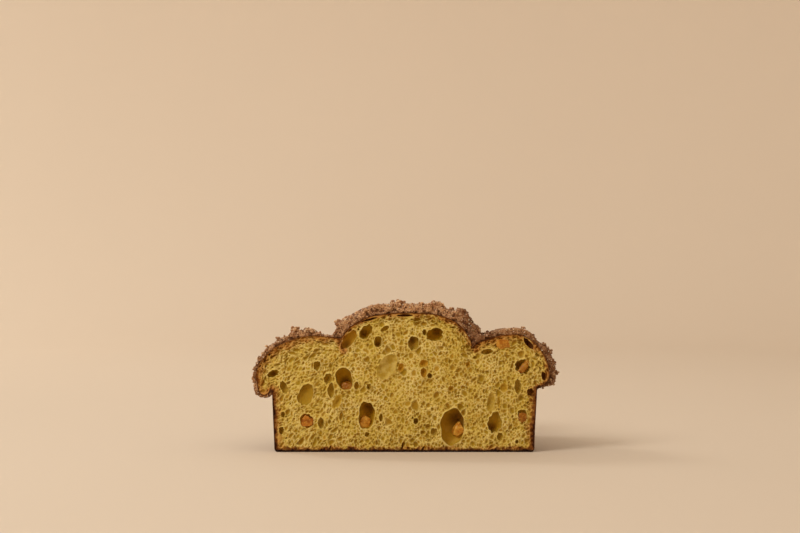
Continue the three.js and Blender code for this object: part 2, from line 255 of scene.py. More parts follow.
def outline_distance(outline, x, y):
    """Signed distance in the plane from a closed outline, negative inside."""
    ends = np.roll(outline, -1, axis=0)
    nearest = np.full(x.shape, np.inf)
    inside = np.zeros(x.shape, bool)
    for (ax, ay), (bx, by) in zip(outline, ends):
        dx, dy = bx - ax, by - ay
        share = np.clip(((x - ax) * dx + (y - ay) * dy) / (dx * dx + dy * dy), 0, 1)
        nearest = np.minimum(nearest, np.hypot(x - ax - share * dx, y - ay - share * dy))
        if dy:
            inside ^= ((ay > y) != (by > y)) & (x < dx * (y - ay) / dy + ax)
    return np.where(inside, -nearest, nearest)


def grid_axes(low, high, pitch):
    return [np.arange(a, b + pitch, pitch) for a, b in zip(low, high)]


def iso_surface(field, low, pitch):
    """Closed surface where a grid of values passes through zero, as points and quads facing out."""
    grid = openvdb.FloatGrid(1.0)
    grid.copyFromArray(np.ascontiguousarray(field, np.float32))
    points, _, quads = grid.convertToPolygons(isovalue=0.0, adaptivity=0.0)
    points = np.asarray(low) + np.asarray(points, float) * pitch
    quads = np.asarray(quads, np.int64)
    a, b, c = (points[quads[:, i]] for i in range(3))
    if np.einsum("ij,ij->", np.cross(a, b), c) < 0:
        quads = quads[:, ::-1]
    return points, quads


def dough_field(axes, swell):
    """Field of the whole dough, lobes and moulded base, on a grid; swell holds its uneven rise."""
    x, y, z = np.meshgrid(*axes, indexing="ij", sparse=True)
    plan = outline_distance(mould_outline(), *np.meshgrid(axes[0], axes[1], indexing="ij"))[:, :, None]
    wall = plan + MOULD.lean * (1 - z / MOULD.height) + swell * 0.25
    rounding = MOULD.foot_round
    outer = np.hypot(np.maximum(wall + rounding, 0), np.maximum(rounding - z, 0)) - rounding
    foot = np.maximum(outer, np.maximum(wall, -z))
    mould = np.maximum(foot, z - MOULD.height)
    core = np.maximum(np.maximum(plan + CORE.inset, z - CORE.top), CORE.bottom - z)
    return np.minimum(np.minimum(lobes_field(x, y, z, swell), mould), core)


# Uneven rise of the dough, broad swellings and smaller wrinkles: pitch, height and seed
SWELL = [(34, 1.3, 11), (13, 0.5, 12)]


def grid_points(axes):
    return np.stack(np.meshgrid(*axes, indexing="ij"), axis=-1).reshape(-1, 3)


# Meshes

def placed(name, data):
    """A new object in the scene."""
    item = bpy.data.objects.new(name, data)
    bpy.context.collection.objects.link(item)
    return item


def new_object(name, points, faces, smooth=True):
    """Object from arrays of points and faces."""
    mesh = bpy.data.meshes.new(name)
    mesh.from_pydata(points.tolist(), [], faces.tolist(), shade_flat=not smooth)
    return placed(name, mesh)


def mesh_object(name, points, faces, material, smooth=True):
    """Piece of the cake from points in mm, with its material."""
    piece = new_object(name, (points + (0, CUT_Y, 0)) * MM, faces, smooth)
    piece.data.materials.append(material)
    return piece


def set_attribute(piece, name, values):
    attribute = piece.data.attributes.new(name, "FLOAT", "POINT")
    attribute.data.foreach_set("value", np.ascontiguousarray(values, np.float32))


def cut_open(points, quads, ratio):
    """Thins a surface and takes off what lies before the cut: points, triangles and the ordered rim."""
    draft = new_object("draft", points, np.vstack([quads[:, [0, 1, 2]], quads[:, [0, 2, 3]]]))
    draft.modifiers.new("thinner", "DECIMATE").ratio = ratio
    shape = bmesh.new()
    shape.from_object(draft, bpy.context.evaluated_depsgraph_get())
    bpy.data.meshes.remove(draft.data)
    bmesh.ops.bisect_plane(shape, geom=shape.verts[:] + shape.edges[:] + shape.faces[:], dist=1e-4,
                           plane_co=(0, 0, 0), plane_no=(0, -1, 0), clear_outer=True)
    bmesh.ops.triangulate(shape, faces=shape.faces[:])
    shape.verts.index_update()
    rim_edges = [edge for edge in shape.edges if edge.is_boundary]
    follows = {}
    for edge in rim_edges:
        loop = edge.link_loops[0]
        follows[loop.vert.index] = loop.link_loop_next.vert.index
    first = next(iter(follows))
    rim = [first]
    while follows[rim[-1]] != first:
        rim.append(follows[rim[-1]])
    assert len(rim) == len(follows), "the cut has more than one rim"
    open_points = np.array([vert.co for vert in shape.verts])
    open_faces = np.array([[vert.index for vert in face.verts] for face in shape.faces])
    shape.free()
    return open_points, open_faces, rim


# The crumb on the cut

# Pitch in mm of the raster of small cells and of the mesh
CELL_PITCH = 0.2
FACE_PITCH = 0.62

# Zones, each as the two values between which it sets in: by the top crust, on the slanting left, on the
# part that rose over the mould, on the left wing and its lip, along the base, and where the rim no longer
# looks like the outside
CRUST_INSET = (20, 7)
CRUST_Z = (50, 66)
SLANT_X = (-40, -70)
RISEN_Z = (50, 62)
LEFT_X = (-45, -75)
LIP_X = (-110.5, -113)
BASE_Z = (14, 6)
BASE_X = (106, 98)
RIM_Z = (52, 60)

# Holes: share of the depth in their table, depth in mm up to which one is a plain bowl, the rings of
# points in one, and the spread of the waves along its rim, for a smooth and a ragged rim
HOLE_DEPTH = 0.78
BOWL_DEPTH = 3
RING_LEVELS = np.array([1.0, 0.96, 0.9, 0.82, 0.72, 0.6, 0.47, 0.33, 0.18, 0.0])
RIM_WAVES = [0.05, 0.05, 0.045, 0.04, 0.04, 0.035, 0.035, 0.03, 0.03, 0.025]
SMOOTH_RIM = 0.4
RAGGED_RIM = 0.75

# Uneven depths, as pitch, height and seed: of the torn crumb, the dark crust and the browning under it
TORN = [(11, 0.4, 21), (1.7, 0.15, 22)]
RIND_UNEVEN = [(8, 1.5, 24), (2.4, 1.4, 25)]
TOAST_UNEVEN = [(7, 3.0, 26), (2.6, 2.6, 27)]

# Small cells: how far their walls reach in, the slope inside, and the waves that bend them, in mm
CELL_WALL = 0.06
CELL_SLOPE = 0.55
WARP_PITCH = 4.5
WARP_REACH = 0.7

# Dense crumb, whose cells are shallower: its middle on the cut and its reach in mm
DENSE = (5, 62)
DENSE_REACH = 32

# Layers of air cells: pitch in mm, share that the knife opened, least and most depth
FOAM = [(5.2, 0.08, 1.0, 2.2), (3.7, 0.34, 0.7, 1.8), (2.6, 0.75, 0.45, 1.5), (1.8, 1.0, 0.25, 1.1)]


class CutFace:
    """The cut in the plane of x and z: its outline, large holes and a raster of small cells."""

    def __init__(self, rim_points):
        self.low = rim_points.min(axis=0) - 2
        self.high = rim_points.max(axis=0) + 2
        self.rng = np.random.default_rng(5)
        plan = np.meshgrid(*[np.arange(a, b + 1) for a, b in zip(self.low, self.high)], indexing="ij")
        self.inset_grid = -outline_distance(rim_points, *plan)
        self.near_crust = smoothstep(self.inset_grid, *CRUST_INSET) * smoothstep(plan[1], *CRUST_Z)
        self.on_left = smoothstep(plan[0], *SLANT_X)
        self.grain_grid = self.grain()
        self.stretch_grid = 1.14 + 0.4 * self.near_crust + 0.36 * self.on_left
        self.holes = [self.hole(*row) for row in HOLES]
        self.carve()

    def sample(self, grid, pitch, points):
        spots = np.clip((points - self.low) / pitch, 0, np.array(grid.shape) - 1.001)
        cell = spots.astype(int)
        part = spots - cell
        i, j = cell[:, 0], cell[:, 1]
        lower = mix(grid[i, j], grid[i + 1, j], part[:, 0])
        upper = mix(grid[i, j + 1], grid[i + 1, j + 1], part[:, 0])
        return mix(lower, upper, part[:, 1])

    def inset(self, points):
        """Distance inwards from the outline."""
        return self.sample(self.inset_grid, 1.0, points)

    def grain(self):
        """Lean of the cells' long axis: along the top crust, slanting on the left, else nearly upright."""
        slope_x, slope_z = np.gradient(self.inset_grid)
        crust = np.arctan2(slope_z, -slope_x)
        inner = np.radians(mix(6, 42, self.on_left))
        sine = mix(np.sin(2 * inner), np.sin(2 * crust), self.near_crust)
        cosine = mix(np.cos(2 * inner), np.cos(2 * crust), self.near_crust)
        return np.arctan2(sine, cosine) / 2

    def hole(self, x, z, wide, high, lean, deep, power=2, tint=0, aside=0, above=0):
        turn = math.radians(lean)
        smooth = tint < -0.5 or min(wide, high) > 12
        waves = (SMOOTH_RIM if smooth else RAGGED_RIM) * self.rng.normal(0, RIM_WAVES)
        phases = self.rng.uniform(0, 2 * math.pi, len(waves))
        slant = self.rng.uniform(-0.3, 0.3, 2)
        half = np.array([wide, high]) / 2
        return SimpleNamespace(
            centre=np.array([x, z]), half=half, deep=deep * HOLE_DEPTH, power=power, tint=tint,
            right=np.array([math.cos(turn), -math.sin(turn)]),
            up=np.array([math.sin(turn), math.cos(turn)]),
            waves=waves, phases=phases, slant=slant, deepest=half * (aside, above))

    @staticmethod
    def rim_radius(hole, angle):
        waves = sum(wave * np.sin((k + 2) * angle + phase)
                    for k, (wave, phase) in enumerate(zip(hole.waves, hole.phases)))
        flat = np.abs(np.cos(angle)) ** hole.power + np.abs(np.sin(angle)) ** hole.power
        return flat ** (-1 / hole.power) * (1 + waves)

    def hole_reach(self, hole, points):
        """Share of the way from a hole's middle to its rim, 1 on the rim."""
        offset = points - hole.centre
        u = offset @ hole.right / hole.half[0]
        v = offset @ hole.up / hole.half[1]
        return np.hypot(u, v) / self.rim_radius(hole, np.arctan2(v, u))

    def foam_layer(self, plan, pitch, share, least, most, seed):
        """One size of cells with thin walls between them: depth, openness, tone, and which are open."""
        rng = np.random.default_rng(seed)
        tile = 256
        size = (tile, tile)
        jitter = rng.uniform(0.05, 0.95, (*size, 2))
        lean = rng.normal(0, 0.4, size)
        stretch = rng.uniform(0.88, 1.18, size)
        girth = rng.uniform(0.8, 1.25, size)
        deep = mix(least, most, rng.uniform(size=size) ** 2)
        opened = rng.uniform(size=size) < share
        tone = rng.uniform(-1, 1, size)
        cell = np.floor(plan / pitch).astype(int)
        first = np.full(len(plan), np.inf)
        second = np.full(len(plan), np.inf)
        owner = np.zeros((len(plan), 2), int)
        for step in np.ndindex(5, 5):
            near = cell + step - 2
            i, j = near[:, 0] % tile, near[:, 1] % tile
            spot = (near + jitter[i, j]) * pitch
            place = np.clip((spot - self.low).astype(int), 0, np.array(self.grain_grid.shape) - 1)
            turn = self.grain_grid[place[:, 0], place[:, 1]] + lean[i, j]
            longer = self.stretch_grid[place[:, 0], place[:, 1]] * stretch[i, j]
            offset = plan - spot
            u = offset[:, 0] * np.cos(turn) - offset[:, 1] * np.sin(turn)
            v = offset[:, 0] * np.sin(turn) + offset[:, 1] * np.cos(turn)
            away = np.hypot(u * longer, v / longer) * girth[i, j]
            closer = away < first
            second = np.where(closer, first, np.minimum(second, away))
            owner[closer] = np.column_stack([i, j])[closer]
            first = np.where(closer, away, first)
        i, j = owner.T
        inwards = np.clip(((second - first) / (second + first) - CELL_WALL) / CELL_SLOPE, 0, 1)
        bowl = np.sqrt(1 - (1 - inwards) ** 2)
        return deep[i, j] * bowl, inwards, tone[i, j], opened[i, j]

    def carve(self):
        """Fills the raster with foam: open cells of each size, and smaller ones where one stayed shut."""
        columns, rows = np.ceil((self.high - self.low) / CELL_PITCH).astype(int)
        plan = np.stack(np.meshgrid(self.low[0] + np.arange(columns) * CELL_PITCH,
                                    self.low[1] + np.arange(rows) * CELL_PITCH, indexing="ij"), axis=-1)
        plan = plan.reshape(-1, 2)
        spots = np.column_stack([plan, np.zeros(len(plan))])
        warp = np.column_stack([noise(spots, WARP_PITCH, seed) for seed in (81, 82)])
        bent = plan + WARP_REACH * warp
        layers = [self.foam_layer(bent, *layer, seed=60 + k) for k, layer in enumerate(FOAM)]
        taken = np.zeros(len(plan), bool)
        foam = np.zeros((3, len(plan)))
        for *values, opened in layers:
            fresh = opened & ~taken
            foam[:, fresh] = np.array(values)[:, fresh]
            taken |= opened
        self.depth, self.open, self.tone = foam.reshape(3, columns, rows)

    def hole_points(self, hole):
        """Points on rings inside a hole: where they lie in the plane, and where they end up."""
        shallow = hole.deep < BOWL_DEPTH
        bulge = math.radians(12)
        flat, solid = [], []
        for level in RING_LEVELS:
            girth = 2 * math.pi * hole.half.mean() * max(level, 0.02)
            count = max(1, int(girth / (FACE_PITCH * 1.05)))
            angle = (np.arange(count) + 0.5 * (len(flat) % 2)) * 2 * math.pi / count
            tilt = mix(-bulge, math.pi / 2, 1 - level)
            radius = self.rim_radius(hole, angle)
            u, v = radius * np.cos(angle), radius * np.sin(angle)
            if shallow:
                wide = level
                bowl = 1 - level ** 2
            else:
                wide = max(math.cos(tilt), 0) / math.cos(bulge)
                bowl = (math.sin(tilt) + math.sin(bulge)) / (1 + math.sin(bulge))
            slant = 1 + (1 - level) * (u * hole.slant[0] + v * hole.slant[1])
            deep = hole.deep * slant * bowl
            ray = np.outer(u * hole.half[0], hole.right) + np.outer(v * hole.half[1], hole.up)
            flat.append(hole.centre + ray * max(level, 1e-3))
            place = hole.centre + ray * wide + hole.deepest * (1 - wide)
            inside = in_space(place, deep)
            uneven = 0.16 * hole.deep * noise(inside, 3.4, 23)
            cells = 0.35 * self.sample(self.depth, CELL_PITCH, flat[-1])
            inside[:, 1] += (1 - level) * uneven + cells
            solid.append(inside)
        return np.vstack(flat), np.vstack(solid)

    def points(self):
        """Interior points: place in the plane and in the solid; openness, tone, tint and painted hole
        shade of each.
        """
        columns = np.arange(self.low[0], self.high[0], FACE_PITCH)
        rows = np.arange(self.low[1], self.high[1], FACE_PITCH * math.sqrt(3) / 2)
        x, z = np.meshgrid(columns, rows, indexing="ij")
        x = x + (np.arange(len(rows)) % 2) * FACE_PITCH / 2
        plan = np.column_stack([x.ravel(), z.ravel()])
        plan = plan + self.rng.uniform(-0.12, 0.12, plan.shape)
        plan = plan[self.inset(plan) > 0.5 * FACE_PITCH]
        film = np.zeros(len(plan))
        for hole in self.holes:
            near = np.abs(plan - hole.centre).max(axis=1) < hole.half.max() * 1.5 + 2
            reach = np.full(len(plan), 9.0)
            reach[near] = self.hole_reach(hole, plan[near])
            beyond = (reach - 1) * hole.half.min()
            # Round large holes the crumb is made shallower and is kept in the pale wall colour: a painted
            # highlight on the rim
            film = np.maximum(film, smoothstep(beyond, 1.3, 0.4) * (hole.deep > BOWL_DEPTH))
            outside = beyond > 0.4 * FACE_PITCH
            plan, film = plan[outside], film[outside]
        calm = smoothstep(self.inset(plan), 0.2, 1.6)
        dense = np.exp(-np.square(plan - DENSE).sum(axis=1) / DENSE_REACH ** 2)
        flattened = smoothstep(self.inset(plan), 10, 4) * smoothstep(plan[:, 1], *RISEN_Z)
        deep = self.sample(self.depth, CELL_PITCH, plan) * mix(0.35, 1, calm) * mix(1.1, 0.66, dense)
        deep = deep * mix(1, 2.0, flattened) * mix(1, 0.3, film)
        deep = deep + calm * (0.4 + layered(in_space(plan), TORN))
        flats = [plan]
        solids = [in_space(plan, deep)]
        # Painted highlight: less painted cell shade on the rim round large holes
        opened = self.sample(self.open, CELL_PITCH, plan) * mix(1, 0.35, film)
        plain = np.zeros(len(plan))
        looks = [np.column_stack([opened, self.sample(self.tone, CELL_PITCH, plan), plain, plain])]
        for hole in self.holes:
            flat, solid = self.hole_points(hole)
            flats.append(flat)
            solids.append(solid)
            # Painted shade: a hole's walls take the darker cell colour as they go deeper
            opened = smoothstep(solid[:, 1], 0, 0.25 * hole.deep)
            opened = opened * mix(0.6, 1, self.sample(self.open, CELL_PITCH, flat))
            away = np.linalg.norm(solid[:, [0, 2]] - hole.centre - hole.deepest, axis=1)
            # Painted shade: large holes are coloured darker towards their deepest spot, where shade falls
            painted_hole_shade = smoothstep(away / hole.half.mean(), 1.0, 0.1) * smoothstep(hole.deep, 2.5, 6)
            plain = np.zeros(len(flat))
            looks.append(np.column_stack([opened, plain, plain + hole.tint, painted_hole_shade]))
        return np.vstack(flats), np.vstack(solids), *np.vstack(looks).T


def crease_distance(plan, start, end):
    along = np.subtract(end, start)
    share = np.clip((plan - start) @ along / (along @ along), 0, 1)
    return np.linalg.norm(plan - start - share[:, None] * along, axis=1)


def risen_share(plan):
    """1 on the part that rose over the mould and on the lip over its left wall, and 0 in the mould."""
    x, z = plan.T
    return np.maximum(smoothstep(z, *RISEN_Z), smoothstep(x, *LIP_X))


def base_share(plan):
    """1 along the base between the walls, and 0 above it."""
    x, z = plan.T
    return smoothstep(z, *BASE_Z) * smoothstep(np.abs(x), *BASE_X)


def rind_depth(face, plan):
    """Depth under the dark crust, in mm where the crust is of usual thickness."""
    x, z = plan.T
    spots = in_space(plan)
    inset = face.inset(plan)
    top = risen_share(plan)
    base = base_share(plan)
    wall = mix(1.3, 1.5, smoothstep(x, -50, 50))
    crust = 0.32 + 0.45 * smoothstep(noise(spots, 7, 28), 0.05, 0.6)
    width = mix(mix(wall, crust, top), 1.15, base)
    uneven = layered(spots, RIND_UNEVEN) * mix(0.9, 1.4, base)
    depth = inset / width + uneven * np.clip(inset / 1.4, 0.2, 1)
    for start, end, reach in CREASES:
        depth = np.minimum(depth, 2.0 + 5 * crease_distance(plan, start, end) / reach)
    light = top * mix(mix(0.7, 2.1, smoothstep(x, *LEFT_X)), 1.6, smoothstep(x, 68, 82))
    light = light * mix(0.2, 1, smoothstep(z, 56, 68))
    return np.maximum(depth, light)


def toast_at(face, plan):
    """How far the crumb browned under the crust, from 0 to 1: deepest beside the right crease."""
    x = plan[:, 0]
    top = risen_share(plan)
    left = smoothstep(x, *LEFT_X) * top
    shelf = smoothstep(x, 54, 62) * smoothstep(x, 94, 84) * top
    depth = mix(mix(9.5, 5.5, top), 9.5, left)
    depth = mix(mix(depth, 12, shelf), 6, base_share(plan))
    toast = np.clip(1 - (face.inset(plan) + layered(in_space(plan), TOAST_UNEVEN)) / depth, 0, 1)
    for start, end, reach in CREASES:
        toast = np.maximum(toast, smoothstep(crease_distance(plan, start, end), reach, 1.0))
    return toast


def filled(rim_points, inner_points):
    """Triangles that fill an outline, using the rim's points and the points inside it."""
    flat = [Vector(point) for point in np.vstack([rim_points, inner_points])]
    count = len(rim_points)
    edges = [(i, (i + 1) % count) for i in range(count)]
    result = delaunay_2d_cdt(flat, edges, [], 1, 1e-5)
    origin = [sources[0] for sources in result[3]]
    return np.array([[origin[i] for i in face] for face in result[2]])


def make_cake(material):
    pitch = 1.6
    axes = grid_axes((-134, -6.4, -4), (134, 166, 124), pitch)
    shape = tuple(len(axis) for axis in axes)
    swell = layered(grid_points(axes), SWELL).reshape(shape)
    points, quads = iso_surface(dough_field(axes, swell), [axis[0] for axis in axes], pitch)
    points, faces, rim = cut_open(points, quads, ratio=0.42)
    rim_plan = points[rim][:, [0, 2]]
    face = CutFace(rim_plan)
    flat, solid, opened, tone, tint, painted_hole_shade = face.points()
    inner = np.arange(len(points), len(points) + len(solid))
    shown = np.concatenate([rim, inner])
    plan = np.vstack([rim_plan, flat])
    fill = shown[filled(rim_plan, flat)]
    both = np.vstack([points, solid])
    corner = both[fill[0]]
    if np.cross(corner[1] - corner[0], corner[2] - corner[0])[1] > 0:
        fill = fill[:, ::-1]
    cake = mesh_object("cake_crumb", both, np.vstack([faces, fill]), material)
    on_cut = np.concatenate([smoothstep(rim_plan[:, 1], *RIM_Z), np.ones(len(inner))])
    values = dict(on_cut=(shown, on_cut), rind=(shown, rind_depth(face, plan)),
                  toast=(shown, toast_at(face, plan)), pit=(inner, solid[:, 1]), open=(inner, opened),
                  tone=(inner, tone), tint=(inner, tint), painted_hole_shade=(inner, painted_hole_shade))
    for name, (where, inside) in values.items():
        whole = np.zeros(len(both))
        whole[where] = inside
        set_attribute(cake, name, whole)
    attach(cake, "root")
    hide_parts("cake")


# Glaze

# Zones near the cut, with the x between which each sets in and ends: the thin smooth skin on the right
# wing and the crease beside the dome; and the y between which both fade
SKIN_X = ((72, 80), (114, 106))
CREASE_X = ((42, 54), (82, 74))
FRONT_Y = (45, 25)

# How far in mm from the outside of the glaze its noise is worked out
GLAZE_BAND = 13


def front_zone(points, start, end):
    """1 near the cut between two spans of x, and 0 beyond them and further back."""
    x, y = points[:, 0], points[:, 1]
    return smoothstep(x, *start) * smoothstep(x, *end) * smoothstep(y, *FRONT_Y)


def crags(points):
    """Rounded clumps with sharp clefts between them, in mm about the mean."""
    return sum(height * (np.abs(noise(points, pitch, 31 + k)) - 0.27)
               for k, (pitch, height) in enumerate(CRAGS))


def bake_and_shade_at(points):
    """How much darker the glaze is coloured, from 0 to 1: most in the right crease, less on both wings. In
    the right crease and at the right end this is painted shade, away from the key lamp; on the left wing
    it is a darker bake.
    """
    x = points[:, 0]
    crease = smoothstep(x, 34, 56) * mix(1, 0.35, smoothstep(x, 74, 88))
    right_end = 0.5 * smoothstep(x, 102, 114)
    left = 0.45 * smoothstep(x, -25, -75)
    return np.clip(crease + right_end + left + 0.35 * noise(points, 18, 39), 0, 1)


def glaze_rise(points):
    """Crags of the glaze over its even thickness, in patches, and its form along the cut."""
    x, y, z = points.T
    patches = mix(0.45, 1.3, smoothstep(noise(points, 24, 36), -0.45, 0.45))
    form = np.zeros(len(points))
    for at_x, at_z, reach, height in GLAZE_FORM:
        back = BUMP_REACH if height > 0 else DIP_REACH
        form += height * np.exp(-((x - at_x) ** 2 + (z - at_z) ** 2) / reach ** 2 - (y / back) ** 2)
    skin = mix(1, 0.25, front_zone(points, *SKIN_X))
    crease = mix(1, 1.4, front_zone(points, *CREASE_X))
    return crags(points) * patches * skin * crease + form


def make_glaze(material):
    pitch = 1.3
    axes = grid_axes((-136, -2.6, 40), (136, 172, 136), pitch)
    shape = tuple(len(axis) for axis in axes)
    x, y, z = np.meshgrid(*axes, indexing="ij", sparse=True)
    near = np.abs(lobes_field(x, y, z, 0, coat=True)).ravel() < GLAZE_BAND
    spots = grid_points(axes)[near]

    def spread(values):
        whole = np.zeros(near.size)
        whole[near] = values
        return whole.reshape(shape)

    swell = spread(layered(spots, SWELL))
    rise = spread(glaze_rise(spots)) + swell
    front = smoothstep(y, 60, 40)
    lip = smoothstep(x, -104, -116) * front
    right_end = smoothstep(x, 100, 116) * front
    edge = spread(4 * noise(spots, 14, 37)) + GLAZE.edge
    edge = edge - GLAZE.lip_drop * lip + GLAZE.right_rise * right_end
    broken = spread(np.maximum(1.0 - 2.0 * crags(spots * (1, 0.5, 1)), 0.1))
    outer = np.minimum(lobes_field(x, y, z, rise, coat=True), lobes_field(x, y, z, swell + GLAZE.skin))
    field = np.maximum(outer, -lobes_field(x, y, z, swell - 0.5))
    field = np.maximum(np.maximum(field, edge - z), broken - y)
    points, quads = iso_surface(field, [axis[0] for axis in axes], pitch)
    points, quads = largest_part(points, quads)
    glaze = mesh_object("glaze_crust", points, quads, material)
    # Crag height for the glaze's painted cleft shade, set high on the smooth skin so that it gets none
    set_attribute(glaze, "crag", mix(crags(points), 0.15, front_zone(points, *SKIN_X)))
    # Painted shade in the right crease and at the right end, and a darker bake on the left wing
    set_attribute(glaze, "bake", bake_and_shade_at(points))
    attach(glaze, "root")
    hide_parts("glaze")
    return points, quads


def largest_part(points, quads):
    """Drops loose scraps and keeps the part with the most faces."""
    label = np.arange(len(points))
    while True:
        lowest = label[quads].min(axis=1)
        fresh = label.copy()
        for corner in range(4):
            np.minimum.at(fresh, quads[:, corner], lowest)
        fresh = fresh[fresh]
        if (fresh == label).all():
            break
        label = fresh
    names, counts = np.unique(label[quads[:, 0]], return_counts=True)
    kept = quads[label[quads[:, 0]] == names[counts.argmax()]]
    used, index = np.unique(kept, return_inverse=True)
    return points[used], index.reshape(kept.shape)


def outer_samples(points, quads, count, rng):
    """Random points on the outside of the glaze, with the surface's normals, and which lie on its cut."""
    a, b, c, d = (points[quads[:, i]] for i in range(4))
    normal = np.cross(c - a, d - b)
    area = np.linalg.norm(normal, axis=1) / 2
    normal = normal / np.maximum(2 * area[:, None], 1e-9)
    middle = (a + b + c + d) / 4
    ahead = middle + 2.2 * normal
    outside = lobes_field(*ahead.T, layered(middle, SWELL)) > 0.8
    on_cut = (normal[:, 1] < -0.7) & (middle[:, 1] < 1.8)
    weight = area * outside * (1 + 3 * np.exp(-middle[:, 1] / 8))
    chosen = rng.choice(len(quads), count, p=weight / weight.sum())
    u, v = rng.uniform(size=(2, count, 1))
    spots = mix(mix(a[chosen], b[chosen], u), mix(d[chosen], c[chosen], u), v)
    return spots, normal[chosen], on_cut[chosen]


def icosahedron():
    g = (1 + math.sqrt(5)) / 2
    points = np.array([(-1, g, 0), (1, g, 0), (-1, -g, 0), (1, -g, 0), (0, -1, g), (0, 1, g),
                       (0, -1, -g), (0, 1, -g), (g, 0, -1), (g, 0, 1), (-g, 0, -1), (-g, 0, 1)])
    faces = [(0, 11, 5), (0, 5, 1), (0, 1, 7), (0, 7, 10), (0, 10, 11), (1, 5, 9), (5, 11, 4),
             (11, 10, 2), (10, 7, 6), (7, 1, 8), (3, 9, 4), (3, 4, 2), (3, 2, 6), (3, 6, 8),
             (3, 8, 9), (4, 9, 5), (2, 4, 11), (6, 2, 10), (8, 6, 7), (9, 8, 1)]
    return points / np.linalg.norm(points[0]), np.array(faces)


def chunk_mesh(name, centres, radii, tones, material, rng, flatness, smooth=True):
    """Many small irregular chunks as one joined mesh, each with a tone of its own."""
    base, faces = icosahedron()
    count = len(centres)
    shape = base * rng.uniform(0.8, 1.2, (count, len(base), 1))
    shape = shape * rng.uniform(flatness, 1.15, (count, 1, 3))
    turns = [Quaternion(row).normalized().to_matrix() for row in rng.normal(size=(count, 4))]
    turned = np.einsum("nij,nkj->nki", np.array(turns), shape)
    points = centres[:, None] + turned * radii[:, None, None]
    index = faces[None] + (np.arange(count) * len(base))[:, None, None]
    piece = mesh_object(name, points.reshape(-1, 3), index.reshape(-1, 3), material, smooth)
    set_attribute(piece, "tone", np.repeat(tones, len(base)))
    # Painted shade and bake of the glaze where each chunk sits, which darkens its colour
    set_attribute(piece, "bake", np.repeat(bake_and_shade_at(centres), len(base)))
    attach(piece, "root")
    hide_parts("glaze")


# Radius in mm of crumbs on the smooth skin, how far a clump lies behind the cut, and numbers of each kind
SKIN_CRUMB = 0.3
CLUMP_FRONT = 0.6
CRUMB_COUNT = 7600
CLUMP_COUNT = 70
SUGAR_COUNT = 700


def seated(points, x, z, radius):
    """Where a clump sits: on the glaze, and a little way from there to its place at the cut."""
    front = radius + CLUMP_FRONT
    aim = np.array([x, front, z])
    nearest = points[np.linalg.norm(points - aim, axis=1).argmin()]
    step = aim - nearest
    step = step * min(1, 0.4 * radius / np.linalg.norm(step))
    return np.maximum(nearest + step, (-np.inf, front, -np.inf))


def make_nut_crumbs(surface, material, rng):
    """Nut crumbs and clumps of them that stand out of the glaze."""
    spots, normals, on_cut = outer_samples(*surface, CRUMB_COUNT, rng)
    radii = 0.55 + 1.1 * rng.uniform(size=len(spots)) ** 2
    radii[on_cut] = np.minimum(radii[on_cut], 1.0)
    sunk = np.where(on_cut, rng.uniform(0.2, 0.7, len(spots)), rng.uniform(0.1, 0.75, len(spots)))
    centres = [spots - normals * (radii * sunk)[:, None]]
    tones = [rng.uniform(0, 1, len(spots))]
    bare = front_zone(spots, *SKIN_X) > rng.uniform(0, 1.1, len(spots))
    sizes = [np.where(bare, SKIN_CRUMB, radii)]
    roots, _, on_cut = outer_samples(*surface, CLUMP_COUNT, rng)
    clumps = [(root, rng.uniform(2.0, 3.2)) for root in roots[~on_cut]]
    clumps += [(seated(surface[0], x, z, radius), radius) for x, z, radius in CLUMPS]
    for root, radius in clumps:
        count = int(9 * radius)
        farthest = 0.55 * radius
        offset = np.clip(rng.normal(0, 0.4 * radius, (count, 3)), -farthest, farthest)
        centres.append(root + offset)
        sizes.append(radius * rng.uniform(0.22, 0.42, count))
        tones.append(rng.uniform(0.25, 1, count))
    centres = np.vstack(centres)
    sizes = np.concatenate(sizes)
    tones = np.concatenate(tones)
    kept = centres[:, 1] > sizes * 0.9
    chunk_mesh("nut_crumbs", centres[kept], sizes[kept], tones[kept], material, rng, flatness=0.65)


def make_sugar_grains(surface, material, rng):
    """Single grains of sugar on the outside of the glaze."""
    spots, normals, _ = outer_samples(*surface, SUGAR_COUNT, rng)
    radii = rng.uniform(0.3, 0.6, len(spots))
    centres = spots + normals * 0.3
    kept = centres[:, 1] > 0.5
    tones = rng.uniform(0, 1, len(spots))
    chunk_mesh("sugar_grains", centres[kept], radii[kept], tones[kept], material, rng, flatness=0.8,
               smooth=False)


# Candied orange

# Candied pieces 1 to 7: colour from amber (0) to red-orange (1), how dark, and the share of its half size
# at which a piece's corners are cut off
CANDIED = [(0.1, 0.0, 0.7), (0.9, 0.15, 0.65), (0.1, 0.0, 0.8), (0.5, 0.45, 1.0), (0.2, 0.35, 0.8),
           (0.6, 0.5, 0.8), (0.5, 0.1, 0.9)]


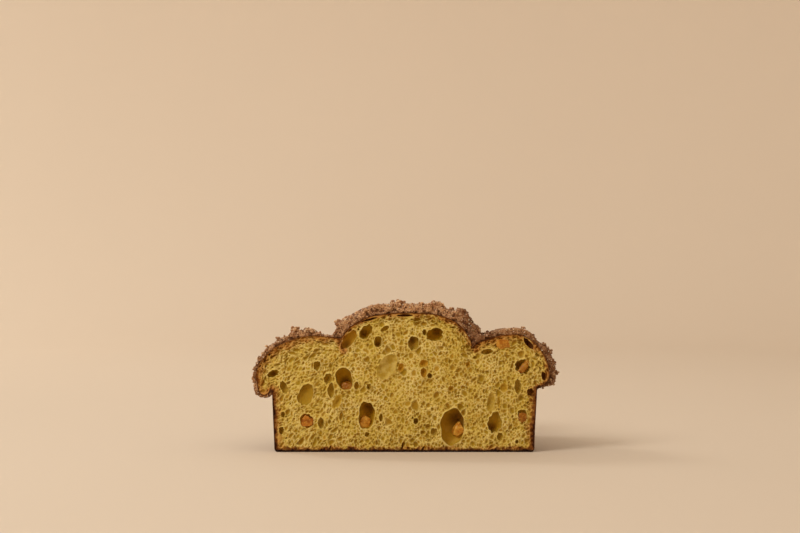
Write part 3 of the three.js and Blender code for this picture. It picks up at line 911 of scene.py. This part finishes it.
def make_candied(number, redness, darkness, corner_share, material):
    """A moist chunk with softened edges and three cut corners, made from its solid."""
    node = "candied_orange_%d" % number
    shape = bmesh.new()
    shape.from_mesh(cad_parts[node].data)
    bmesh.ops.remove_doubles(shape, verts=shape.verts[:], dist=1e-6)
    bmesh.ops.subdivide_edges(shape, edges=shape.edges[:], cuts=3, use_grid_fill=True)
    bmesh.ops.triangulate(shape, faces=shape.faces[:])
    for _ in range(14):
        bmesh.ops.smooth_vert(shape, verts=shape.verts[:], factor=0.5, use_axis_x=True, use_axis_y=True,
                              use_axis_z=True)
    shape.normal_update()
    points = np.array([vert.co for vert in shape.verts]) / MM
    normals = np.array([vert.normal for vert in shape.verts])
    rng = np.random.default_rng(70 + number)
    for turn in rng.uniform(0, 0.9, 3) + (0.4, 2.5, 4.6):
        facing = np.array([math.cos(turn), rng.uniform(-0.3, 0.1), math.sin(turn)])
        facing = facing / np.linalg.norm(facing)
        reach = (points - points.mean(axis=0)) @ facing
        points = points - np.outer(np.maximum(reach - corner_share * reach.max(), 0), facing)
    rise = 0.7 + 1.3 * noise(points, 5.5, 51) + 0.6 * noise(points, 2.4, 52)
    points = points + normals * rise[:, None] - (0, CUT_Y, 0)
    half = np.ptp(points, axis=0) / 2
    aside = np.square((points - points.min(axis=0)) / half - 1)[:, [0, 2]].sum(axis=1)
    points[:, 1] = np.maximum(points[:, 1], 0.1 + 0.45 * aside + 0.2 * noise(points, 2.8, 53))
    faces = np.array([[vert.index for vert in face.verts] for face in shape.faces])
    shape.free()
    piece = mesh_object("candied_chunk_%d" % number, points, faces, material)
    set_attribute(piece, "redness", np.full(len(points), redness))
    set_attribute(piece, "darkness", np.full(len(points), darkness))
    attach(piece, "root")
    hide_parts(node)


# Materials

class Shader:
    """Short names for building a Principled material out of nodes."""

    def __init__(self, name):
        self.material = bpy.data.materials.new(name)
        self.material.use_nodes = True
        self.tree = self.material.node_tree
        self.principled = self.tree.nodes["Principled BSDF"]

    def node(self, kind, **settings):
        node = self.tree.nodes.new("ShaderNode" + kind)
        for key, value in settings.items():
            setattr(node, key, value)
        return node

    def put(self, socket, value):
        if isinstance(value, bpy.types.NodeSocket):
            self.tree.links.new(value, socket)
        else:
            socket.default_value = value

    def fill(self, node, **values):
        for key, value in values.items():
            self.put(node.inputs[key.replace("_", " ")], value)

    def attribute(self, name):
        return self.node("Attribute", attribute_name=name).outputs["Fac"]

    def position(self):
        return self.node("TexCoord").outputs["Object"]

    def height(self):
        split = self.node("SeparateXYZ")
        self.fill(split, Vector=self.position())
        return split.outputs["Z"]

    def noise(self, size_mm, detail=3.0, roughness=0.55):
        texture = self.node("TexNoise")
        self.fill(texture, Scale=1000 / size_mm, Detail=detail, Roughness=roughness,
                  Vector=self.position())
        return texture.outputs["Fac"]

    def ranged(self, value, low, high, start=0.0, end=1.0):
        ramp = self.node("MapRange", interpolation_type="SMOOTHSTEP")
        self.fill(ramp, Value=value, From_Min=low, From_Max=high, To_Min=start, To_Max=end)
        return ramp.outputs["Result"]

    def colours(self, share, a, b):
        """Goes from one colour to another; each is a socket or three 8-bit sRGB values."""
        node = self.node("Mix", data_type="RGBA")
        self.put(node.inputs["Factor"], share)
        for key, colour in (("A", a), ("B", b)):
            socket = next(s for s in node.inputs if s.name == key and s.type == "RGBA")
            self.put(socket, srgb(*colour) if isinstance(colour, tuple) else colour)
        return next(s for s in node.outputs if s.type == "RGBA")

    def over(self, base, value, low, high, colour, most=1.0):
        """Lays a colour over a base, from none to its most as a value goes from low to high."""
        return self.colours(self.ranged(value, low, high, 0.0, most), base, colour)

    def bump(self, height, strength, distance_mm):
        node = self.node("Bump")
        self.fill(node, Strength=strength, Distance=distance_mm * MM, Height=height)
        self.set(Normal=node.outputs["Normal"])

    def set(self, **values):
        self.fill(self.principled, **values)


def srgb(*colour):
    """Linear colour from 8-bit sRGB values."""
    value = np.array(colour) / 255
    linear = np.where(value <= 0.04045, value / 12.92, ((value + 0.055) / 1.055) ** 2.4)
    return (*linear, 1.0)


def crumb_material():
    """Yellow open crumb on the cut, browning towards the crust, with painted shade in its hollows and
    along its base, and crust outside, browned in the oven.
    """
    s = Shader("crumb")
    pit = s.attribute("pit")
    opened = s.attribute("open")
    tint = s.attribute("tint")
    rind = s.attribute("rind")
    height = s.height()
    film = s.over((216, 188, 94), s.noise(16, 2), 0.35, 0.65, (226, 202, 122))
    shallow = s.over((186, 156, 48), s.attribute("tone"), -1.0, 1.0, (194, 152, 54))
    # Painted shade: open cells go from the pale wall colour to a darker one towards their middle; the tone
    # between cells varies at random
    cells = s.over(film, opened, 0.05, 0.8, shallow)
    # Painted shade: the crumb is coloured darker the deeper it lies behind the cut
    pit_shade = s.over(cells, pit, 0.4, 1.5, (150, 112, 14), 0.65)
    deep = s.over(pit_shade, pit, 2.4, 8.0, (182, 136, 24))
    warm = s.over(deep, tint, 0.0, 1.0, (182, 124, 22), 0.7)
    pale = s.over((168, 136, 46), s.noise(7, 3), 0.4, 0.65, (208, 182, 100))
    cool = s.over(warm, tint, 0.0, -1.0, pale, 0.8)
    # Painted shade: darkens the colour towards the deepest spot of each large hole
    with_hole_shade = s.over(cool, s.attribute("painted_hole_shade"), 0.0, 1.0, (92, 46, 6), 0.68)
    # Painted shade: in the browned crumb the cells are also coloured darker towards their middle
    browned = s.over((192, 132, 62), opened, 0.05, 0.7, (134, 78, 22))
    toasted = s.over(with_hole_shade, s.attribute("toast"), 0.0, 0.95, browned, 0.85)
    brown = s.over(toasted, rind, 3.4, 1.5, (112, 60, 20), 0.9)
    dark = s.over(brown, rind, 1.5, 0.3, (58, 26, 8))
    seam = s.over(dark, tint, 1.0, 2.0, (82, 36, 14), 0.9)
    # Burnt bottom crust and painted contact shadow: the cut is coloured near black along its lowest
    # millimetres
    burnt_sole_and_contact_shade = s.over(seam, height, 2.6 * MM, 0.8 * MM, (24, 11, 5))
    bake = s.over((116, 72, 40), s.noise(11, 4), 0.35, 0.7, (82, 47, 26))
    speck = s.over(bake, s.noise(2.0, 5, 0.65), 0.48, 0.7, (150, 106, 66), 0.7)
    pore = s.over(speck, s.noise(1.3, 3), 0.6, 0.72, (48, 24, 12), 0.75)
    foot = s.over(pore, height, 9 * MM, 0.0, (52, 27, 13), 0.75)
    s.set(Base_Color=s.colours(s.attribute("on_cut"), foot, burnt_sole_and_contact_shade), Roughness=0.75)
    s.set(Specular_IOR_Level=0.08, Subsurface_Weight=0.1, Subsurface_Scale=0.0012)
    s.set(Subsurface_Radius=(1.0, 0.8, 0.35))
    s.bump(s.noise(0.9, 4, 0.6), 0.4, 0.4)
    return s.material


def glaze_material():
    s = Shader("glaze")
    broad = s.over((174, 126, 82), s.noise(12, 3), 0.35, 0.68, (142, 96, 60))
    grains = s.over(broad, s.noise(1.2, 4, 0.65), 0.42, 0.6, (214, 168, 120))
    # Painted shade in the right crease and at the right end, and a darker bake on the left wing
    baked_and_shaded = s.over(grains, s.attribute("bake"), 0.0, 1.0, (96, 52, 20), 0.7)
    # Painted shade: the glaze is coloured darker where it lies low between its crags
    cleft_shade = s.over(baked_and_shaded, s.attribute("crag"), 0.2, -1.0, (74, 38, 16), 0.9)
    pores = s.over(cleft_shade, s.noise(1.5, 2), 0.56, 0.68, (70, 34, 12), 0.8)
    s.set(Base_Color=pores, Roughness=0.7, Specular_IOR_Level=0.15)
    s.bump(s.noise(0.8, 4, 0.65), 0.6, 0.5)
    return s.material


def nut_material():
    s = Shader("nut_crumbs")
    tone = s.attribute("tone")
    low = s.over((86, 46, 20), tone, 0.0, 0.5, (168, 118, 74))
    high = s.over(low, tone, 0.5, 1.0, (226, 184, 136))
    uneven = s.over(high, s.noise(1.2, 3), 0.4, 0.7, (134, 74, 40), 0.4)
    # Painted shade in the right crease and at the right end, and a darker bake on the left wing
    baked_and_shaded = s.over(uneven, s.attribute("bake"), 0.0, 1.0, (78, 38, 14), 0.5)
    s.set(Base_Color=baked_and_shaded, Roughness=0.55, Specular_IOR_Level=0.25)
    s.bump(s.noise(0.5, 3), 0.4, 0.2)
    return s.material


def sugar_material():
    s = Shader("sugar_grains")
    s.set(Base_Color=s.colours(s.attribute("tone"), (200, 158, 116), (240, 218, 188)))
    s.set(Roughness=0.3, Specular_IOR_Level=0.6, Subsurface_Weight=0.2, Subsurface_Scale=0.0008)
    s.bump(s.noise(0.3, 2), 0.2, 0.1)
    return s.material


def candied_material():
    s = Shader("candied_orange")
    amber = s.over((216, 160, 58), s.noise(4, 3), 0.38, 0.62, (176, 108, 18))
    red = s.over((198, 124, 38), s.noise(3.5, 3), 0.38, 0.62, (146, 76, 8))
    body = s.colours(s.attribute("redness"), amber, red)
    dull = s.colours(s.attribute("darkness"), body, (92, 46, 4))
    # Painted glints: pale flecks on the candied orange stand in for the highlights on its moist surface
    painted_glints = s.over(dull, s.noise(1.8, 3), 0.52, 0.7, (216, 168, 72), 0.5)
    s.set(Base_Color=painted_glints, Roughness=0.22, Specular_IOR_Level=0.2)
    s.set(Subsurface_Weight=0.1, Subsurface_Scale=0.0015, Subsurface_Radius=(1.0, 0.7, 0.3))
    s.bump(s.noise(1.6, 3), 0.8, 0.6)
    return s.material


# Stage, light and camera

def floor_material():
    s = Shader("studio_floor")
    s.set(Base_Color=s.colours(s.noise(900, 2), (209, 190, 167), (206, 187, 164)))
    s.set(Roughness=0.85, Specular_IOR_Level=0.2)
    return s.material


def make_floor():
    """A pale round floor that sweeps up into a seamless backdrop on all sides."""
    flat, bend, wall = 1.6, 1.0, 0.9
    turn = np.linspace(0, math.pi / 2, 16)
    profile = [(0.0, 0.0)] + [(flat * share, 0.0) for share in (0.15, 0.4, 0.7, 1.0)]
    profile += [(flat + bend * math.sin(t), bend * (1 - math.cos(t))) for t in turn[1:]]
    profile += [(flat + bend, bend + wall)]
    shape = bmesh.new()
    verts = [shape.verts.new((radius, 0, height)) for radius, height in profile]
    edges = [shape.edges.new(pair) for pair in zip(verts, verts[1:])]
    bmesh.ops.spin(shape, geom=verts + edges, axis=(0, 0, 1), cent=(0, 0, 0), angle=2 * math.pi,
                   steps=96, use_merge=True)
    bmesh.ops.remove_doubles(shape, verts=shape.verts[:], dist=1e-5)
    bmesh.ops.recalc_face_normals(shape, faces=shape.faces[:])
    bmesh.ops.reverse_faces(shape, faces=shape.faces[:])
    mesh = bpy.data.meshes.new("studio_floor")
    shape.to_mesh(mesh)
    shape.free()
    for face in mesh.polygons:
        face.use_smooth = True
    mesh.materials.append(floor_material())
    floor = placed("studio_floor", mesh)


# Soft lamps: name, place and aim in metres, size and power; their colour; and the light from all around
LAMPS = [("key", (-1.35, -1.15, 1.4), (0, 0, 0.06), 0.9, 22),
         ("wash", (-2.1, 1.2, 1.8), (-0.1, 2.5, 0.6), 1.0, 40)]
LAMP_COLOUR = (0.94, 0.98, 1.0)
AROUND = SimpleNamespace(colour=(1.0, 0.91, 0.81, 1.0), strength=0.85)


def make_light():
    for name, place, aim, size, power in LAMPS:
        light = bpy.data.lights.new(name, "AREA")
        light.shape = "DISK"
        light.size = size
        light.energy = power
        light.color = LAMP_COLOUR
        lamp = placed(name, light)
        lamp.location = place
        lamp.rotation_euler = (Vector(aim) - Vector(place)).to_track_quat("-Z", "Y").to_euler()
    world = bpy.data.worlds.new("studio")
    world.use_nodes = True
    background = world.node_tree.nodes["Background"]
    background.inputs["Color"].default_value = AROUND.colour
    background.inputs["Strength"].default_value = AROUND.strength
    bpy.context.scene.world = world


# The camera looks level along +Y; its picture is so wide at the cut
PICTURE_WIDTH = 664 * MM
CAMERA = SimpleNamespace(lens=70, x=-3.7 * MM, height=154 * MM)


def make_camera():
    camera = bpy.data.cameras.new("camera")
    camera.lens = CAMERA.lens
    away = PICTURE_WIDTH * CAMERA.lens / camera.sensor_width
    holder = placed("camera", camera)
    holder.location = (CAMERA.x, CUT_Y * MM - away, CAMERA.height)
    holder.rotation_euler = (math.pi / 2, 0, 0)
    bpy.context.scene.camera = holder


make_camera()
make_light()
make_floor()
make_cake(crumb_material())
glaze_surface = make_glaze(glaze_material())
chip_rng = np.random.default_rng(41)
make_nut_crumbs(glaze_surface, nut_material(), chip_rng)
make_sugar_grains(glaze_surface, sugar_material(), chip_rng)
candied = candied_material()
for candied_number, candied_looks in enumerate(CANDIED, 1):
    make_candied(candied_number, *candied_looks, candied)

bpy.context.scene.view_settings.view_transform = "Standard"
